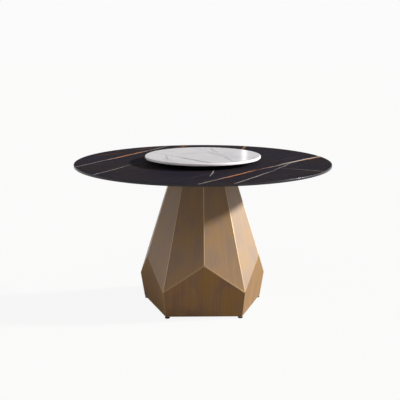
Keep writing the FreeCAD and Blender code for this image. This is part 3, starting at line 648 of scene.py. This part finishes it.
bm = bmesh.new()
bmesh.ops.create_circle(bm, cap_ends=True, segments=floorLook["segments"],
                        radius=floorLook["radius"])
floorMesh = bpy.data.meshes.new("floor")
bm.to_mesh(floorMesh)
bm.free()
floor = bpy.data.objects.new("floor", floorMesh)
bpy.context.scene.collection.objects.link(floor)
floorMaterial, floorTree = newMaterial("studioFloorPaper")
fromAxis = addNode(floorTree, "ShaderNodeVectorMath", {"operation": "LENGTH"}, {
    0: addNode(floorTree, "ShaderNodeTexCoord").outputs["Object"]})
farAway = addNode(floorTree, "ShaderNodeMapRange", {"interpolation_type": "SMOOTHSTEP"}, {
    "Value": fromAxis.outputs["Value"], "From Min": floorLook["near"],
    "From Max": floorLook["far"]})
plain = addNode(floorTree, "ShaderNodeBsdfDiffuse", {}, {
    "Color": linearColour(floorLook["colour"])})
seen = addNode(floorTree, "ShaderNodeBsdfDiffuse", {}, {
    "Color": linearColour(floorLook["seenColour"])})
glow = addNode(floorTree, "ShaderNodeEmission", {}, {"Strength": floorLook["glow"]})
seenGlow = addNode(floorTree, "ShaderNodeAddShader", {}, {0: seen.outputs[0], 1: glow.outputs[0]})
mixed = addNode(floorTree, "ShaderNodeMixShader", {}, {
    0: seenShare(floorTree, farAway.outputs[0]), 1: plain.outputs[0], 2: seenGlow.outputs[0]})
finishMaterial(floorTree, mixed)
floorMesh.materials.append(floorMaterial)


# the studio round it: a white band at the horizon, over it a level for each side, other levels
# higher up, and a soft box far to the left and right. Places are parts of a unit direction
studio = {
    # the white ends at the first height as light, and at the second as seen; then it fades
    "horizon": 0.965, "bandLight": 0.04, "bandSeen": 0.23, "bandFade": 1.1,
    "skyColour": "#fff7f4",
    "low": {"left": 1.2, "right": 0, "front": 0, "back": 0},
    "high": {"left": 0.1, "right": 0.1, "front": 1.85, "back": 0.4},
    "leftToRight": (-0.4, 0.4), "frontToSides": (-0.75, -0.35), "sidesToBack": (0.45, 0.85),
    "lowToHigh": (0.45, 0.7),
    "leftBox": 0.5, "rightBox": 1.65, "boxStart": 0.75, "boxEnd": 0.92,
}

world = bpy.data.worlds.new("studio")
bpy.context.scene.world = world
world.use_nodes = True
worldTree = world.node_tree
worldTree.nodes.clear()
towards = addNode(worldTree, "ShaderNodeSeparateXYZ", {}, {
    0: addNode(worldTree, "ShaderNodeTexCoord").outputs["Generated"]})


def worldBlend(axis, start, end, before, after):
    # from one level to another along an axis; a level is a number or the result of another blend
    return addNode(worldTree, "ShaderNodeMapRange", {"interpolation_type": "SMOOTHSTEP"}, {
        "Value": towards.outputs[axis], "From Min": start, "From Max": end,
        "To Min": before, "To Max": after}).outputs[0]


def worldSides(levels):
    sides = worldBlend("X", *studio["leftToRight"], levels["left"], levels["right"])
    sides = worldBlend("Y", *studio["frontToSides"], levels["front"], sides)
    return worldBlend("Y", *studio["sidesToBack"], sides, levels["back"])


lowLevel = worldSides(studio["low"])
lowLevel = worldBlend("X", -studio["boxEnd"], -studio["boxStart"], studio["leftBox"], lowLevel)
lowLevel = worldBlend("X", studio["boxStart"], studio["boxEnd"], lowLevel, studio["rightBox"])
highLevel = worldSides(studio["high"])
overBand = worldBlend("Z", *studio["lowToHigh"], lowLevel, highLevel)
band = addNode(worldTree, "ShaderNodeMapRange", {}, {
    "Value": seenShare(worldTree, 1.0), "To Min": studio["bandLight"],
    "To Max": studio["bandSeen"]}).outputs[0]
bandTop = addNode(worldTree, "ShaderNodeMath", {"operation": "MULTIPLY"}, {
    0: band, 1: studio["bandFade"]}).outputs[0]
level = worldBlend("Z", band, bandTop, studio["horizon"], overBand)
skyShare = worldBlend("Z", band, bandTop, 0.0, 1.0)
skyColour = addNode(worldTree, "ShaderNodeMix", {"data_type": "RGBA"}, {
    0: skyShare, 6: linearColour("#ffffff"), 7: linearColour(studio["skyColour"])}).outputs[2]
sky = addNode(worldTree, "ShaderNodeBackground", {}, {"Color": skyColour, "Strength": level})
addNode(worldTree, "ShaderNodeOutputWorld", {}, {"Surface": sky.outputs[0]})


# a sun from the right, and a low strip behind that draws a streak on the turntable
lamps = {
    "colour": "#fffef8", "keyStrength": 6.0, "keyAngle": 5.0, "keyHeading": 5.0,
    "keyHeight": 23.5, "keyDistance": 6, "stripPower": 0.15, "stripPlace": (0.562, 5.0, 1.505),
    "stripAim": (0.2, 0, 0.8), "stripWidth": 0.045, "stripHeight": 0.6,
}


def addLamp(name, kind, place, direction, **settings):
    data = bpy.data.lights.new(name, kind)
    data.color = linearColour(lamps["colour"])[:3]
    for key, value in settings.items():
        setattr(data, key, value)
    lamp = bpy.data.objects.new(name, data)
    bpy.context.scene.collection.objects.link(lamp)
    lamp.location = place
    lamp.rotation_euler = direction.to_track_quat("-Z", "Y").to_euler()
    return lamp


heading, height = math.radians(lamps["keyHeading"]), math.radians(lamps["keyHeight"])
toKey = Vector((math.cos(height) * math.cos(heading), math.cos(height) * math.sin(heading),
                math.sin(height)))
addLamp("keyLamp", "SUN", toKey * lamps["keyDistance"], -toKey, energy=lamps["keyStrength"],
        angle=math.radians(lamps["keyAngle"]))
stripPlace = Vector(lamps["stripPlace"])
stripLamp = addLamp("stripLamp", "AREA", stripPlace, Vector(lamps["stripAim"]) - stripPlace,
                    energy=lamps["stripPower"], shape="RECTANGLE", size=lamps["stripWidth"],
                    size_y=lamps["stripHeight"])
stripLamp.visible_camera = False


view = {"place": (-0.1036, -4.5037, 1.4364), "tilt": 78.88, "heading": -1.134, "lens": 80.13}

cameraData = bpy.data.cameras.new("camera")
cameraData.lens = view["lens"]
camera = bpy.data.objects.new("camera", cameraData)
camera.location = view["place"]
camera.rotation_euler = (math.radians(view["tilt"]), 0, math.radians(view["heading"]))
bpy.context.scene.collection.objects.link(camera)
bpy.context.scene.camera = camera
bpy.context.scene.view_settings.view_transform = "Standard"
print("stage: floor, world, 2 lamps, camera")
